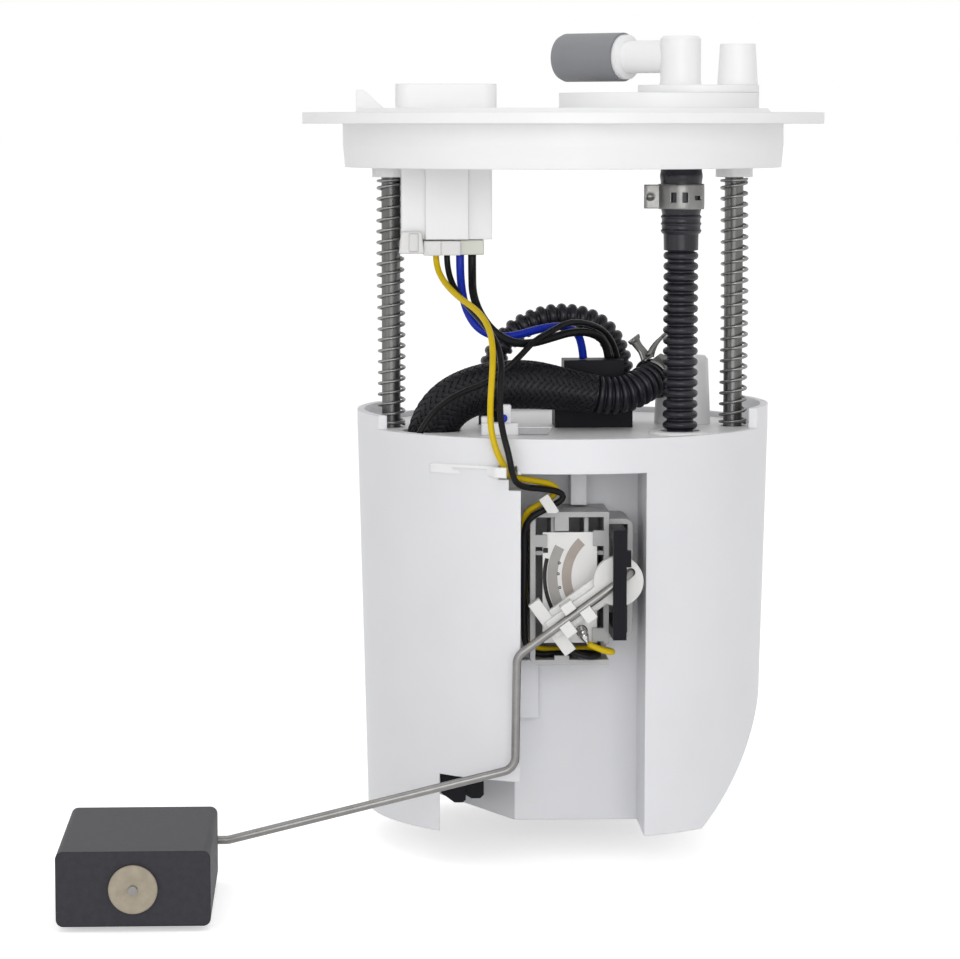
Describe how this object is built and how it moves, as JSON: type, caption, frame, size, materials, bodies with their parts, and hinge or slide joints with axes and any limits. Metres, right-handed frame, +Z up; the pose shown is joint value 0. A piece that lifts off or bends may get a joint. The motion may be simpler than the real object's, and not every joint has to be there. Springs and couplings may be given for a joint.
{
  "type": "fuel pump module",
  "caption": "In-tank fuel pump module: a round plastic flange with electrical socket and outlet elbow over a sprung sliding reservoir with a level sender, swing arm and foam float.",
  "frame": {"origin": "centre of the flange underside, on the module's axis, where it seats on the tank", "axes": "+Z up out of the tank along the module's axis, -Y towards the level sender, +X towards the fuel outlet column"},
  "size_m": [0.2173, 0.2027, 0.2364],
  "materials": {
    "white_nylon": "satin",
    "grey_plastic": "satin",
    "grey_cap": "satin",
    "black_plastic": "satin",
    "black_nylon_tube": "semi gloss",
    "black_braid": "woven",
    "steel": "drawn",
    "tinned_brass": "plated",
    "magnet": "sintered",
    "resistor_ink": "printed",
    "foam": "closed cell",
    "cream_nylon": "matt",
    "yellow_wire": "semi gloss",
    "black_wire": "semi gloss",
    "blue_wire": "semi gloss"
  },
  "bodies": {
    "flange": {"flange": "white_nylon", "outlet_fitting": "white_nylon", "terminal_pins": "tinned_brass", "harness_plug": "white_nylon", "guide_rod_left": "steel", "guide_rod_right": "steel", "rod_clip_left": "steel", "rod_clip_right": "steel", "supply_hose": "black_nylon_tube", "hose_clamp": "steel", "spring_left": "steel", "spring_right": "steel", "wire_yellow": "yellow_wire", "wire_black_thin": "black_wire", "wire_blue": "blue_wire", "wire_black_thick": "black_wire"},
    "cap": {"outlet_cap": "grey_cap"},
    "reservoir": {"reservoir": "white_nylon", "reservoir_cover": "white_nylon", "guide_bush_left": "black_plastic", "guide_bush_right": "black_plastic", "pump_case": "steel", "pump_head": "black_plastic", "pump_base": "grey_plastic", "motor_magnets": "magnet", "motor_brushes": "magnet", "fuel_filter": "black_plastic", "foot_valve": "black_plastic", "inlet_strainer": "black_braid", "pump_connector": "black_plastic", "regulator_housing": "white_nylon", "pressure_regulator": "steel", "cover_latch": "white_nylon", "braided_sleeve": "black_braid", "riser_tube": "black_nylon_tube", "riser_clamp": "steel", "loop_tube": "black_nylon_tube", "transfer_tube": "black_nylon_tube", "wire_ground": "black_wire", "cable_tie": "white_nylon", "sender_housing": "grey_plastic", "resistor_card": "white_nylon", "resistor_tracks": "resistor_ink", "card_terminals": "tinned_brass", "sender_clip": "black_plastic"},
    "rotor": {"motor_rotor": "steel", "pump_impeller": "black_plastic"},
    "arm": {"float_arm": "steel", "wiper_carrier": "white_nylon", "wiper_contacts": "tinned_brass", "float_washer": "cream_nylon"},
    "float": {"float": "foam"}
  },
  "joints": [
    {"name": "reservoir_slide", "type": "slide", "parent": "flange", "child": "reservoir", "axis": [0, 0, 1], "range_m": [0, 0.025], "stiffness_N_per_m": 300, "springref_m": -0.03, "deforming": ["spring_left", "spring_right", "supply_hose", "wire_yellow", "wire_black_thin", "wire_blue", "wire_black_thick"]},
    {"name": "float_swing", "type": "hinge", "parent": "reservoir", "child": "arm", "pos_m": [0.0119, -0.0618, -0.1274], "axis": [0, 1, 0], "range_deg": [0, 60]},
    {"name": "float_turn", "type": "hinge", "parent": "arm", "child": "float", "pos_m": [-0.1207, -0.094, -0.1996], "axis": [0, 1, 0], "continuous": true},
    {"name": "motor_spin", "type": "hinge", "parent": "reservoir", "child": "rotor", "pos_m": [0.006, 0.014, -0.135], "axis": [0, 0, 1], "continuous": true},
    {"name": "cap_pull", "type": "slide", "parent": "flange", "child": "cap", "axis": [-0.766, 0.6428, 0], "range_m": [0, 0.06]}
  ]
}
